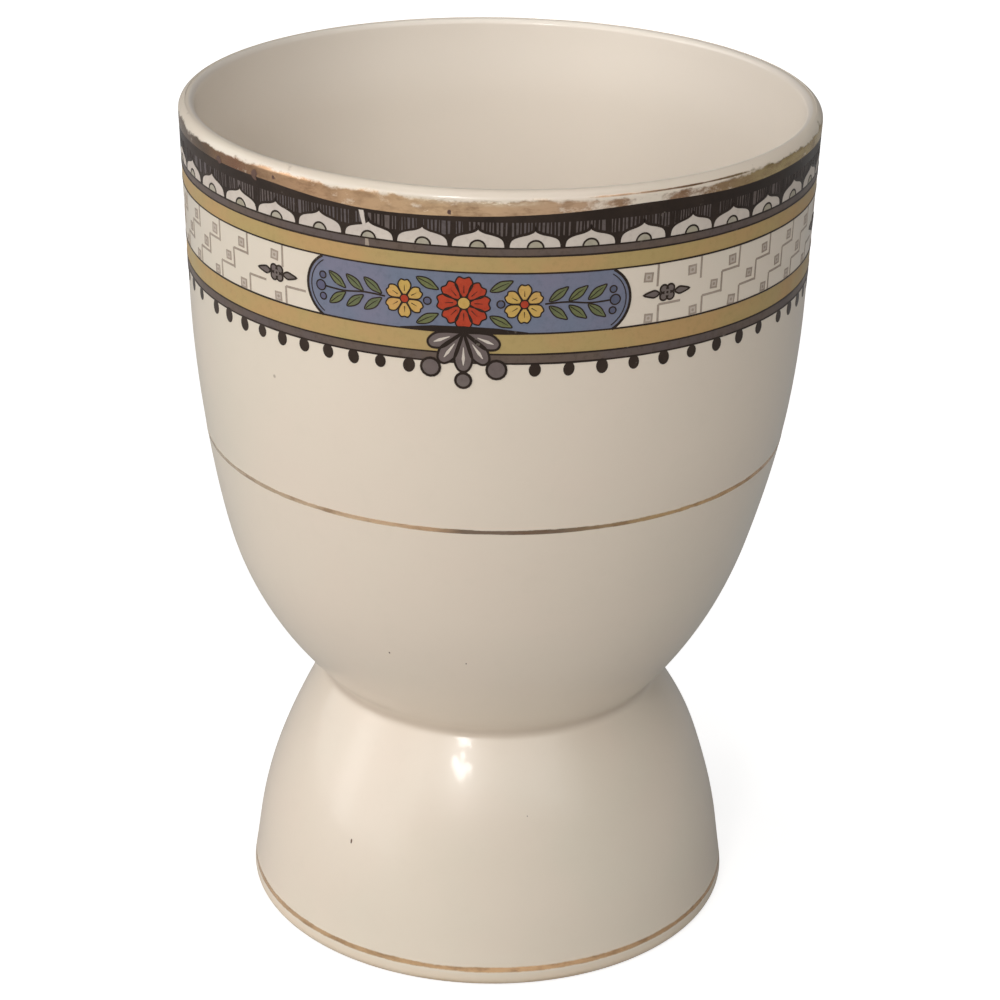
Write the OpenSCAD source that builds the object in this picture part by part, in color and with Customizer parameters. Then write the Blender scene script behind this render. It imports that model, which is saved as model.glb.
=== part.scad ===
// Double egg cup in glazed porcelain: a large cup above and a small one, mouth down, as its foot.
// The two are cast apart and luted together with slip at the waist, then printed and gilded.
// The cup stands on z = 0 with its axis on +Z, and the middle of its front faces -Y.

/* [Large cup] */
// Height of the large cup, from the joint to the lip
bowl_h = 62.8; // [58:0.2:68]
// Radius at the lip, on the line of the straight wall
bowl_r = 32.3; // [31:0.05:34]
// Lean of the straight wall below the lip, in degrees
bowl_lean = 1.8; // [1:0.1:2.6]
// Height of the straight wall, which carries the printed border
bowl_straight_h = 20; // [19:0.5:21]
// Thickness of the wall
bowl_wall = 2.2; // [2:0.1:2.8]
// Thickness of the floor
bowl_floor = 3.2; // [2.6:0.1:4.2]
// Radius of the hollow between floor and wall
bowl_corner_r = 10; // [8:0.5:12]
// Radius of the lip's two rounded edges
bowl_edge_r = 0.95; // [0.6:0.05:0.95]

/* [Foot] */
// Height of the small cup, from the ring it stands on to the joint
foot_h = 25.7; // [23.5:0.1:28]
// Radius at the foot, on the line of the straight wall
foot_r = 26.35; // [25:0.05:28]
// Lean of the straight wall above the foot, in degrees
foot_lean = 7.9; // [6.5:0.1:9.5]
// Height of the straight wall
foot_straight_h = 6; // [5:0.25:7]
// Thickness of the wall
foot_wall = 2.8; // [2.4:0.1:3.2]
// Thickness of the crown, which carries the large cup
foot_floor = 3.4; // [2.8:0.1:4.2]
// Radius of the hollow between crown and wall
foot_corner_r = 8; // [6.5:0.5:9.5]
// Radius of the foot ring's two rounded edges
foot_edge_r = 1; // [0.6:0.05:1.1]

/* [Waist] */
// Radius of the waist, where the two cups meet
waist_r = 17.95; // [17:0.05:19]
// Thickness of the slip that joins them
lute_t = 0.4; // [0.2:0.05:0.8]

/* [Gilding] */
// Height of the gold below the lip
rim_gilt_h = 2.15; // [1.6:0.05:2.2]
// How far the gold wraps over the lip's outer edge, in degrees
rim_gilt_wrap = 60; // [20:5:65]
// Depth of the belt line's middle below the lip
belt_depth = 34.6; // [30:0.2:40]
// Height of the belt line
belt_h = 0.45; // [0.3:0.05:1]
// Height of the foot line's middle above the table
foot_line_z = 2.05; // [1.8:0.05:3]
// Height of the foot line
foot_line_h = 0.7; // [0.4:0.05:0.9]

/* [Printed border] */
// Depth of the border's top edge below the lip
border_depth = 2.25; // [2.2:0.05:2.6]
// Height of the dark band that holds the scallops
dark_band_h = 2.95; // [2.6:0.05:3.2]
// Number of scallops round the cup
scallop_count = 39; // [30:1:42]
// Height of a scallop to its point
scallop_h = 1.65; // [1.2:0.05:2]
// Width of the dark stem between two scallops
scallop_stem = 0.5; // [0.3:0.05:0.8]
// Radius of the half-round eye in each scallop
eye_r = 0.55; // [0.3:0.05:0.7]
// Height of each grey line
grey_line_h = 0.9; // [0.6:0.05:1]
// Height of the upper yellow stripe
upper_stripe_h = 1.5; // [1.2:0.05:1.8]
// Height of the band between the stripes
panel_h = 5.9; // [5.4:0.05:6.2]
// Height of the lower yellow stripe
lower_stripe_h = 1.9; // [1.5:0.05:2]
// Width of the dark outlines
outline_w = 0.1; // [0.08:0.01:0.15]
// Number of blue panels round the cup
panel_count = 3; // [2:1:3]
// Width of a blue panel between the middles of its round ends, in degrees
panel_width = 44; // [43:1:48]
// Radius of a blue panel's round ends
panel_end_r = 3.4; // [3.2:0.1:3.6]
// Turn of the first panel's middle from the front, in degrees
panel_turn = -5.5; // [-20:0.5:20]
// Number of beads under the border
bead_count = 66; // [50:1:72]
// Radius of a bead
bead_r = 0.58; // [0.4:0.02:0.65]

/* [Flowers on the panels] */
// Number of petals of the large middle flower
rosette_petals = 8; // [6:1:10]
// Radius of the circle on which its petals stand
rosette_reach = 1.75; // [1.5:0.05:1.8]
// Radius of one of its petals
rosette_petal_r = 0.8; // [0.6:0.05:0.9]
// Number of petals of the two smaller flowers
blossom_petals = 6; // [5:1:8]
// Radius of the circle on which their petals stand
blossom_reach = 1.15; // [0.9:0.05:1.2]
// Radius of one of their petals
blossom_petal_r = 0.62; // [0.5:0.02:0.64]
// Turn of the smaller flowers from the large one, in degrees
blossom_turn = 10; // [9.6:0.2:10.6]
// Radius of the round heart in a large flower
rosette_heart_r = 0.7; // [0.4:0.05:0.9]
// Radius of the round heart in a smaller flower
blossom_heart_r = 0.45; // [0.3:0.05:0.6]
// Half the length of a leaf
leaf_half_l = 1.05; // [0.8:0.05:1.1]
// Half the width of a leaf
leaf_half_w = 0.4; // [0.3:0.02:0.42]
// Number of leaf pairs beyond a smaller flower
sprig_count = 3; // [1:1:3]
// Bare ring round a flower or leaf
bare_w = 0.12; // [0.08:0.01:0.16]

/* [Fret between the panels] */
// Turn from one stepped line to the next, in degrees
fret_pitch = 8.85; // [8.6:0.05:12]
// Length of a step's tread
fret_tread = 2.4; // [1.8:0.1:2.4]
// Width of the line
fret_w = 0.16; // [0.12:0.01:0.25]
// Side of the small square beside each step
fret_square = 0.6; // [0.4:0.05:0.7]

/* [Hidden] */
$fn = 180;

// Films of gold and enamel: clearance under them, and their thickness
film_seat = 0.01;
film_t = 0.08;
// Steps along each curve of an outline
curve_steps = 14;
edge_steps = 8;

// Where each layer of the border starts, as a depth below the lip
grey_top = border_depth + dark_band_h;
upper_stripe_top = grey_top + grey_line_h + outline_w;
panel_top = upper_stripe_top + upper_stripe_h + outline_w;
lower_stripe_top = panel_top + panel_h + outline_w;
lower_grey_top = lower_stripe_top + lower_stripe_h + outline_w;
bead_top = lower_grey_top + grey_line_h + outline_w;
total_h = foot_h + lute_t + bowl_h;

// Shape of a scallop, in shares of its half width and of its height
lobe_share = 0.3;
lobe_middle_share = 0.3;
flank_shares = [[0.7, 0.58], [0.34, 0.74], [0.12, 0.88]];

// Where a cup's long curve gives way to the tighter bend: shares of the way out from the waist to
// the mouth, and of the way down from the end of the straight wall to the waist
bowl_bend_shares = [0.685, 0.6];
foot_bend_shares = [0.638, 0.45];

// Leaves beyond a smaller flower: where they start and how far apart they are, in shares of the
// panel's half width, and how far each stands off the middle line, in shares of a leaf's length
sprig_start_share = 0.71;
sprig_pitch_share = 0.15;
sprig_off_share = 0.42;
// Tilt of those leaves and of the four round the large flower, in degrees
sprig_tilt = 38;
rosette_leaf_tilt = 27;

// A stepped line has three risers and two treads
riser_count = 3;
riser_h = (panel_h - fret_w) / riser_count;
// Middle of a small square, in shares of the riser's height from the tread it stands over
square_share = 0.5;

// A cup is a list of its sizes, measured from its mouth towards the waist
bowl_cup = [bowl_r, bowl_lean, bowl_straight_h, bowl_bend_shares, bowl_h,
            bowl_wall, bowl_floor, bowl_corner_r, bowl_edge_r];
foot_cup_sizes = [foot_r, foot_lean, foot_straight_h, foot_bend_shares, foot_h,
                  foot_wall, foot_floor, foot_corner_r, foot_edge_r];
function mouth_r(cup) = cup[0];
function lean(cup) = cup[1];
function straight_h(cup) = cup[2];
function bend_shares(cup) = cup[3];
function cup_h(cup) = cup[4];
function wall(cup) = cup[5];
function floor_t(cup) = cup[6];
function corner_r(cup) = cup[7];
function edge_r(cup) = cup[8];

// Points are [radius, depth from the mouth], and angles turn from outward to downward
function along(angle) = [cos(angle), sin(angle)];
function arc(centre, r, from, to, steps) =
    [for (i = [0:steps]) centre + r * along(from + (to - from) * i / steps)];

// Radius of the arc that leaves one point square to this angle and passes through another
function arc_r(from, angle, to) =
    -((to - from) * (to - from)) / (2 * (to - from) * along(angle));

// Outside line: straight from the mouth, then the long curve, then the bend that ends at the waist
function line_r(cup, depth, inset) =
    mouth_r(cup) - inset / cos(lean(cup)) - depth * tan(lean(cup));
function curve_start(cup) = [line_r(cup, straight_h(cup), 0), straight_h(cup)];
function bend_start(cup) =
    [waist_r + bend_shares(cup)[0] * (mouth_r(cup) - waist_r),
     straight_h(cup) + bend_shares(cup)[1] * (cup_h(cup) - straight_h(cup))];
function curve_r(cup) = arc_r(curve_start(cup), lean(cup), bend_start(cup));
function curve_centre(cup) = curve_start(cup) - curve_r(cup) * along(lean(cup));
function bend_angle(cup) = asin((bend_start(cup)[1] - curve_centre(cup)[1]) / curve_r(cup));
function bend_r(cup) = arc_r(bend_start(cup), bend_angle(cup), [waist_r, cup_h(cup)]);
function bend_centre(cup) = bend_start(cup) - bend_r(cup) * along(bend_angle(cup));
function waist_angle(cup) = asin((cup_h(cup) - bend_centre(cup)[1]) / bend_r(cup));

// Inside: the same curves moved in by the wall, then a round corner into a flat floor
function hollow_depth(cup) = cup_h(cup) - floor_t(cup);
function corner_centre(cup) =
    let (reach = bend_r(cup) - wall(cup) - corner_r(cup),
         drop = hollow_depth(cup) - corner_r(cup) - bend_centre(cup)[1])
    bend_centre(cup) + [sqrt(reach * reach - drop * drop), drop];
function corner_angle(cup) =
    let (to_corner = corner_centre(cup) - bend_centre(cup))
    atan2(to_corner[1], to_corner[0]);

// Middle of a rounded edge at the mouth, that far in from the outside line
function edge_centre(cup, inset) = [line_r(cup, edge_r(cup), inset), edge_r(cup)];

function outer_line(cup) = concat(
    arc(edge_centre(cup, edge_r(cup)), edge_r(cup), -90, lean(cup), edge_steps),
    arc(curve_centre(cup), curve_r(cup), lean(cup), bend_angle(cup), curve_steps),
    arc(bend_centre(cup), bend_r(cup), bend_angle(cup), waist_angle(cup), curve_steps));
function without_first(points) = [for (i = [1:len(points) - 1]) points[i]];
function inner_line(cup) = concat(
    arc(corner_centre(cup), corner_r(cup), 90, corner_angle(cup), edge_steps),
    without_first(arc(bend_centre(cup), bend_r(cup) - wall(cup), corner_angle(cup),
                      bend_angle(cup), curve_steps)),
    without_first(arc(curve_centre(cup), curve_r(cup) - wall(cup), bend_angle(cup), lean(cup),
                      curve_steps)),
    arc(edge_centre(cup, wall(cup) - edge_r(cup)), edge_r(cup), 180 + lean(cup), 270, edge_steps));

// A cup standing on its mouth at z = 0
module cup(cup) {
  rotate_extrude()
    polygon(concat(outer_line(cup), [[0, cup_h(cup)], [0, hollow_depth(cup)]], inner_line(cup)));
}

// Moves what stands on its mouth up to the large cup's place, mouth up
module as_bowl() {
  translate([0, 0, total_h])
    mirror([0, 0, 1])
      children();
}

// A film round a cup, from this depth below its mouth
module film(cup, top, height) {
  r_at = function (depth, inset)
    depth < straight_h(cup)
      ? line_r(cup, depth, inset)
      : curve_centre(cup)[0]
        + sqrt(pow(curve_r(cup) - inset, 2) - pow(depth - curve_centre(cup)[1], 2));
  low = top + height;
  rotate_extrude()
    polygon([[r_at(top, -film_seat), top], [r_at(top, -film_seat - film_t), top],
             [r_at(low, -film_seat - film_t), low], [r_at(low, -film_seat), low]]);
}

// A flat outline pressed into the large cup as far as it reaches, this many degrees right of the
// front, with its own zero at this depth below the lip
module stamp(turn, depth, reach = bowl_wall) {
  rotate([0, 0, turn])
    translate([0, -bowl_r + reach, total_h - depth])
      rotate([90, 0, 0])
        linear_extrude(height = 2 * reach)
          children();
}

module around(count) {
  for (i = [0:count - 1])
    rotate([0, 0, i * 360 / count])
      children();
}

module bowl() {
  color("oldlace")
    as_bowl() cup(bowl_cup);
}

module foot_cup() {
  color("linen")
    cup(foot_cup_sizes);
}

module slip_lute() {
  color("antiquewhite")
    translate([0, 0, foot_h])
      cylinder(h = lute_t, r = waist_r);
}

// Gold from the outside wall over the outer edge of the lip
module rim_gilding() {
  centre = edge_centre(bowl_cup, bowl_edge_r);
  under = bowl_edge_r + film_seat;
  turned_over = bowl_lean - rim_gilt_wrap;
  color("darkgoldenrod")
    as_bowl()
      rotate_extrude()
        polygon(concat(
            [[line_r(bowl_cup, rim_gilt_h, -film_seat), rim_gilt_h]],
            arc(centre, under, bowl_lean, turned_over, edge_steps),
            arc(centre, under + film_t, turned_over, bowl_lean, edge_steps),
            [[line_r(bowl_cup, rim_gilt_h, -film_seat - film_t), rim_gilt_h]]));
}

module belt_gilding() {
  color("darkgoldenrod")
    as_bowl() film(bowl_cup, belt_depth - belt_h / 2, belt_h);
}

module foot_gilding() {
  color("darkgoldenrod")
    film(foot_cup_sizes, foot_line_z - foot_line_h / 2, foot_line_h);
}

// Half width of a scallop, from the girth that one of them has
scallop_half_w = PI * line_r(bowl_cup, grey_top, 0) / scallop_count - scallop_stem / 2;

// Outline of a scallop: two lobes and a pointed middle
module scallop() {
  lobe_r = lobe_share * scallop_half_w;
  right = [for (s = flank_shares) [s[0] * scallop_half_w, s[1] * scallop_h]];
  left = [for (i = [len(right) - 1:-1:0]) [-right[i][0], right[i][1]]];
  for (side = [-1, 1])
    intersection() {
      translate([side * (scallop_half_w - lobe_r), lobe_middle_share * scallop_h])
        circle(r = lobe_r);
      translate([-scallop_half_w, 0])
        square([2 * scallop_half_w, scallop_h]);
    }
  polygon(concat([[-scallop_half_w + lobe_r, 0], [scallop_half_w - lobe_r, 0]], right,
                 [[0, scallop_h]], left));
}

// The upper half of a disc
module half_disc(r) {
  intersection() {
    circle(r = r);
    translate([-r, 0])
      square([2 * r, r]);
  }
}

module dark_print() {
  color("darkslategray") {
    difference() {
      as_bowl() film(bowl_cup, border_depth, dark_band_h);
      around(scallop_count)
        stamp(0, grey_top - outline_w) scallop();
    }
    for (below = [upper_stripe_top, panel_top, lower_stripe_top, lower_grey_top, bead_top])
      as_bowl() film(bowl_cup, below - outline_w, outline_w);
  }
}

// Middle of the panels' height, the cup's radius there, and half the distance between the middles
// of a panel's two round ends
panel_middle = panel_top + panel_h / 2;
panel_r = line_r(bowl_cup, panel_middle, 0);
panel_half_l = panel_r * sin(panel_width / 2);

// The angle that a length in front of the cup takes up round it at the panels' height
function as_turn(length) = 2 * asin(length / 2 / panel_r);

// Stepped line that goes down to the left, about the middle of the panels' height
module fret_line() {
  for (i = [0:riser_count - 1]) {
    at = [fret_tread * (1 - i), panel_h / 2 - (i + 1) * riser_h - fret_w];
    translate(at - [fret_w / 2, 0])
      square([fret_w, riser_h + fret_w]);
    if (i < riser_count - 1)
      translate(at - [fret_tread + fret_w / 2, 0])
        square([fret_tread + fret_w, fret_w]);
  }
}

// Open squares that stand over the treads of a stepped line
module fret_squares() {
  for (i = [0:riser_count - 2])
    translate([fret_tread * (1 / 2 - i), panel_h / 2 - (i + 1 - square_share) * riser_h])
      difference() {
        square(fret_square, center = true);
        square(fret_square - 2 * fret_w, center = true);
      }
}

// The stepped lines that fit between two panels, spread about the middle between them
module fret() {
  free_turn = 360 / panel_count - as_turn(2 * (panel_half_l + panel_end_r));
  gaps = floor((free_turn - as_turn(2 * fret_tread + fret_w)) / fret_pitch);
  intersection() {
    as_bowl() film(bowl_cup, panel_top, panel_h);
    around(panel_count)
      for (i = [0:gaps])
        stamp(panel_turn + 180 / panel_count + (i - gaps / 2) * fret_pitch, panel_middle) {
          fret_line();
          fret_squares();
        }
  }
}

module grey_print() {
  color("dimgray") {
    for (top = [grey_top, lower_grey_top])
      as_bowl() film(bowl_cup, top, grey_line_h);
    intersection() {
      as_bowl() film(bowl_cup, border_depth, dark_band_h);
      around(scallop_count)
        stamp(0, grey_top - outline_w) half_disc(eye_r);
    }
    fret();
  }
}

// A disc with petals round its edge, all of it grown by a margin
module flower(petals, reach, petal_r, margin = 0) {
  circle(r = reach + margin);
  for (i = [0:petals - 1])
    rotate(i * 360 / petals)
      translate([0, reach])
        circle(r = petal_r + margin);
}

module rosette(margin = 0) {
  flower(rosette_petals, rosette_reach, rosette_petal_r, margin);
}

module blossom(margin = 0) {
  flower(blossom_petals, blossom_reach, blossom_petal_r, margin);
}

// A leaf pointed at both ends, grown by a margin
module leaf(margin = 0) {
  half_l = leaf_half_l + margin;
  half_w = leaf_half_w + margin;
  r = (half_l * half_l + half_w * half_w) / (2 * half_w);
  intersection() {
    translate([0, r - half_w])
      circle(r = r);
    translate([0, half_w - r])
      circle(r = r);
  }
}

// Presses a flat design into every panel, this many degrees right of its middle
module on_panels(turn) {
  around(panel_count)
    stamp(panel_turn + turn, panel_middle)
      children();
}

// Four leaves round the large flower
module rosette_leaves(margin = 0) {
  off = rosette_reach + rosette_petal_r + 2 * bare_w + leaf_half_l;
  for (side = [0, 180], tilt = [-rosette_leaf_tilt, rosette_leaf_tilt])
    rotate(side + tilt)
      translate([off, 0])
        leaf(margin);
}

// Two leaves that spread upward and downward to this side
module leaf_pair(side, margin = 0) {
  for (up = [-1, 1])
    translate([0, up * sprig_off_share * 2 * leaf_half_l])
      rotate(side * up * sprig_tilt)
        leaf(margin);
}

module leaves(margin = 0) {
  on_panels(0) rosette_leaves(margin);
  for (side = [-1, 1], i = [0:sprig_count - 1])
    on_panels(side * (sprig_start_share + i * sprig_pitch_share) * panel_width / 2)
      leaf_pair(side, margin);
}

// The two stripes, the smaller flowers and the large flowers' hearts
module yellow_print() {
  color("burlywood") {
    as_bowl() film(bowl_cup, upper_stripe_top, upper_stripe_h);
    as_bowl() film(bowl_cup, lower_stripe_top, lower_stripe_h);
    intersection() {
      as_bowl() film(bowl_cup, panel_top, panel_h);
      union() {
        on_panels(0) circle(r = rosette_heart_r - bare_w);
        for (side = [-1, 1])
          on_panels(side * blossom_turn)
            difference() {
              blossom();
              circle(r = blossom_heart_r);
            }
      }
    }
  }
}

// The large flowers and the smaller flowers' hearts
module red_print() {
  color("firebrick")
    intersection() {
      as_bowl() film(bowl_cup, panel_top, panel_h);
      union() {
        on_panels(0)
          difference() {
            rosette();
            circle(r = rosette_heart_r);
          }
        for (side = [-1, 1])
          on_panels(side * blossom_turn) circle(r = blossom_heart_r - bare_w);
      }
    }
}

module leaf_print() {
  color("olivedrab")
    intersection() {
      as_bowl() film(bowl_cup, panel_top, panel_h);
      leaves();
    }
}

// Each panel has round ends, and is left bare round the flowers and leaves
module blue_print() {
  color("steelblue")
    difference() {
      intersection() {
        as_bowl() film(bowl_cup, panel_top, panel_h);
        around(panel_count)
          stamp(panel_turn, panel_middle, panel_half_l) {
            square([2 * panel_half_l, 2 * panel_h], center = true);
            for (side = [-1, 1])
              translate([side * panel_half_l, 0])
                circle(r = panel_end_r);
          }
      }
      on_panels(0) rosette(bare_w);
      for (side = [-1, 1])
        on_panels(side * blossom_turn) blossom(bare_w);
      leaves(bare_w);
    }
}

module bead_print() {
  color("black")
    intersection() {
      as_bowl() film(bowl_cup, bead_top, bead_r + bead_r);
      around(bead_count)
        stamp(0, bead_top + bead_r / 2) circle(r = bead_r);
    }
}

bowl();
foot_cup();
slip_lute();
rim_gilding();
belt_gilding();
foot_gilding();
dark_print();
grey_print();
yellow_print();
red_print();
leaf_print();
blue_print();
bead_print();
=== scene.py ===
"""Double egg cup in glazed porcelain, with a printed border and worn gilding.

Sizes are in millimetres and become metres when a mesh is made. The axis of both cups is Z, and the
front of the border faces -Y. Print is drawn flat, u to the right and z up, and then wrapped round.
"""
import random
from collections import defaultdict
from math import asin, atan2, ceil, cos, degrees, exp, floor, pi, radians, sin, sqrt, tan
import bmesh
import bpy
from mathutils import Matrix, Vector


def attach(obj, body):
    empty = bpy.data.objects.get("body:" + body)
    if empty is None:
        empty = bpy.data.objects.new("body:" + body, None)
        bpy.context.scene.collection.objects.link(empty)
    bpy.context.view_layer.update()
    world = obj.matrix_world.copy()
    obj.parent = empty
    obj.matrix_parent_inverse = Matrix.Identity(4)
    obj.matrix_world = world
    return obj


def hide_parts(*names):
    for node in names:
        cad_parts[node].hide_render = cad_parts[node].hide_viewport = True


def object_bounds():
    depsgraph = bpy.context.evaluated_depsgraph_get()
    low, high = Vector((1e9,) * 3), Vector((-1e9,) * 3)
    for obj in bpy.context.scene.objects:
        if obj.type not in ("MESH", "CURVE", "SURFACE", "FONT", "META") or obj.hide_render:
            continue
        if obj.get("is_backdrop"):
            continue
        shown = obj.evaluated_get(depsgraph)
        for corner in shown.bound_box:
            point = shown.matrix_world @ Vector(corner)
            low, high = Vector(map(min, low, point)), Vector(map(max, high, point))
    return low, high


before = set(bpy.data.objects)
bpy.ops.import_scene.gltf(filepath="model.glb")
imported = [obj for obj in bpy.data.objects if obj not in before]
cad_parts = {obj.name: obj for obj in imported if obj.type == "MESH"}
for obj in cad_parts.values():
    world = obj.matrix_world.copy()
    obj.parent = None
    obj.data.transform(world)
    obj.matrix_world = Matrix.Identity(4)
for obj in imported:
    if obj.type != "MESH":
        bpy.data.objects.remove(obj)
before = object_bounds()

MM = 0.001
chance = random.Random(41)

# Driving sizes of the two cups, as in the CAD
WAIST_R = 17.95
FOOT_H = 25.7
LUTE_T = 0.4
BOWL_H = 62.8
TOTAL_H = FOOT_H + LUTE_T + BOWL_H

# Radii of the rows of points on the flat base and on the floor inside
BASE_RINGS = (0.0, 6.0, 12.0)
FLOOR_RINGS = (0.0, 4.0, 8.0)

# Unevenness of the belly, the joint (in degrees) and the foot's right shoulder, each with its spread
BELLY_LEFT, BELLY_Z, BELLY_SPREAD = 0.45, 40.0, 12.0
JOINT_TILT, JOINT_SPREAD = 0.8, 4.0
SHOULDER_OUT, SHOULDER_Z, SHOULDER_SPREAD = 0.22, 19.0, 4.0

# Edges that turn more than this many degrees stay sharp
SHARP = 40

# Red, green and blue light on the middle of the front, where 1 makes white look white
FRONT_LIGHT = (0.80, 0.77, 0.745)
LAMP_TINT = (1.0, 0.99, 0.99)


def along(angle):
    """Unit step at this angle, from outward (0) to down into the cup (90), as (radius, depth)."""
    return Vector((cos(angle), sin(angle)))


def arc(centre, r, start, end, steps):
    return [centre + r * along(start + (end - start) * i / steps) for i in range(steps + 1)]


def arc_r(start, angle, end):
    """Radius of the arc that leaves start square to this angle and passes through end."""
    step = end - start
    return -step.dot(step) / (2 * step.dot(along(angle)))


class Cup:
    """A cup's outline: straight from the mouth, a long curve, then a tighter bend to the waist.

    Depths run from mouth to waist. bend_shares says how far out and down the bend starts, and corner_r
    rounds the hollow's floor. The lip is lip_wall thick, rounded by edge_r outside and lip_edge_r
    inside, and the wall thickens over taper_h.
    """

    def __init__(self, mouth_r, lean, straight_h, bend_shares, height, wall, floor_t, corner_r, edge_r,
                 lip_wall, lip_edge_r, taper_h):
        self.mouth_r, self.lean, self.straight_h, self.h = mouth_r, radians(lean), straight_h, height
        self.wall, self.floor_t, self.corner_r, self.edge_r = wall, floor_t, corner_r, edge_r
        self.lip_wall, self.lip_edge_r, self.taper_h = lip_wall, lip_edge_r, taper_h
        self.edge_c = Vector((self.line_r(edge_r, edge_r), edge_r))
        start = Vector((self.line_r(straight_h), straight_h))
        bend = Vector((WAIST_R + bend_shares[0] * (mouth_r - WAIST_R),
                       straight_h + bend_shares[1] * (height - straight_h)))
        self.curve_r = arc_r(start, self.lean, bend)
        self.curve_c = start - self.curve_r * along(self.lean)
        self.bend_angle = asin((bend.y - self.curve_c.y) / self.curve_r)
        self.bend_r = arc_r(bend, self.bend_angle, Vector((WAIST_R, height)))
        self.bend_c = bend - self.bend_r * along(self.bend_angle)
        self.waist_angle = asin((height - self.bend_c.y) / self.bend_r)

    def line_r(self, depth, inset=0.0):
        return self.mouth_r - inset / cos(self.lean) - depth * tan(self.lean)

    def radius(self, depth):
        """Outside radius this far from the mouth."""
        if depth < self.straight_h:
            return self.line_r(depth)
        angle_end = self.bend_c.y + self.bend_r * sin(self.bend_angle)
        centre, r = (self.curve_c, self.curve_r) if depth < angle_end else (self.bend_c, self.bend_r)
        return centre.x + sqrt(max(r * r - (depth - centre.y) ** 2, 0))

    def lip_inset(self, depth):
        """Thickness of the wall this far from the mouth, where it thins towards the lip."""
        share = 0.5 - 0.5 * cos(pi * min(depth / self.taper_h, 1.0))
        return self.lip_wall + (self.wall - self.lip_wall) * share

    def outline(self):
        """The whole section, from the middle of the outside floor round the lip to the inside floor."""
        hollow = self.h - self.floor_t
        reach = self.bend_r - self.wall - self.corner_r
        drop = hollow - self.corner_r - self.bend_c.y
        corner_c = self.bend_c + Vector((sqrt(reach * reach - drop * drop), drop))
        corner_angle = atan2(drop, corner_c.x - self.bend_c.x)
        outside = (arc(self.edge_c, self.edge_r, -pi / 2, self.lean, 10)
                   + [Vector((self.line_r(d), d)) for d in
                      spaced(self.edge_r + 0.5, self.straight_h - 0.5, 1.0)]
                   + arc(self.curve_c, self.curve_r, self.lean, self.bend_angle, 30)
                   + arc(self.bend_c, self.bend_r, self.bend_angle, self.waist_angle, 40)[1:])
        taper = [Vector((self.line_r(d, self.lip_inset(d)), d))
                 for d in spaced(self.lip_edge_r + 0.3, self.taper_h, 0.7)]
        lip_c = Vector((self.line_r(self.lip_edge_r, self.lip_wall - self.lip_edge_r), self.lip_edge_r))
        inside = (arc(corner_c, self.corner_r, pi / 2, corner_angle, 14)
                  + arc(self.bend_c, self.bend_r - self.wall, corner_angle, self.bend_angle, 20)[1:]
                  + arc(self.curve_c, self.curve_r - self.wall, self.bend_angle, self.lean, 24)[1:]
                  + taper[::-1] + arc(lip_c, self.lip_edge_r, pi + self.lean, 1.5 * pi, 10))
        base = [Vector((r, self.h)) for r in BASE_RINGS]
        bottom = [Vector((r, hollow)) for r in FLOOR_RINGS]
        return base + outside[::-1] + inside[::-1] + bottom[::-1]


def spaced(start, end, step):
    count = max(1, round((end - start) / step))
    return [start + (end - start) * i / count for i in range(count + 1)]


BOWL = Cup(mouth_r=32.3, lean=1.8, straight_h=20.0, bend_shares=(0.685, 0.6), height=BOWL_H, wall=2.2,
           floor_t=3.2, corner_r=10.0, edge_r=0.95, lip_wall=1.6, lip_edge_r=0.6, taper_h=9.0)
FOOT = Cup(mouth_r=26.35, lean=7.9, straight_h=6.0, bend_shares=(0.638, 0.45), height=FOOT_H, wall=2.8,
           floor_t=3.4, corner_r=8.0, edge_r=1.0, lip_wall=2.8, lip_edge_r=1.0, taper_h=3.0)


def wall_r(z):
    """Outside radius at this height, on whichever cup is there."""
    return BOWL.radius(TOTAL_H - z) if z > FOOT_H else FOOT.radius(z)


def wall_slope(z):
    """How fast the outside radius grows with height."""
    return (wall_r(z + 0.01) - wall_r(z - 0.01)) / 0.02


def bump(value, middle, width):
    return exp(-((value - middle) / width) ** 2)


def settle(x, y, z):
    """Moves a point by the small unevenness of a hand-finished cup."""
    x -= BELLY_LEFT * bump(z, BELLY_Z, BELLY_SPREAD)
    z -= tan(radians(JOINT_TILT)) * x * bump(z, FOOT_H, JOINT_SPREAD)
    right = max(x, 0.0) / WAIST_R
    x += SHOULDER_OUT * right * bump(z, SHOULDER_Z, SHOULDER_SPREAD)
    return Vector((x, y, z))


def place(angle, r, z):
    """A point this many radians right of the front, in metres."""
    return settle(r * sin(angle), -r * cos(angle), z) * MM


def new_object(name, data):
    item = bpy.data.objects.new(name, data)
    bpy.context.collection.objects.link(item)
    return item


def new_piece(name, bodies, material, node=""):
    """One piece of closed bodies, each a list of points and a list of faces, in place of a CAD node."""
    verts, faces = [], []
    for points, polygons in bodies:
        faces += [[i + len(verts) for i in polygon] for polygon in polygons]
        verts += points
    mesh = bpy.data.meshes.new(name)
    mesh.from_pydata([tuple(v) for v in verts], [], faces)
    bm = bmesh.new()
    bm.from_mesh(mesh)
    bmesh.ops.recalc_face_normals(bm, faces=bm.faces)
    for face in bm.faces:
        face.smooth = True
    bm.to_mesh(mesh)
    bm.free()
    mesh.set_sharp_from_angle(angle=radians(SHARP))
    mesh.materials.append(material)
    piece = new_object(name, mesh)
    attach(piece, "root")
    if node:
        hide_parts(node)


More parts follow.
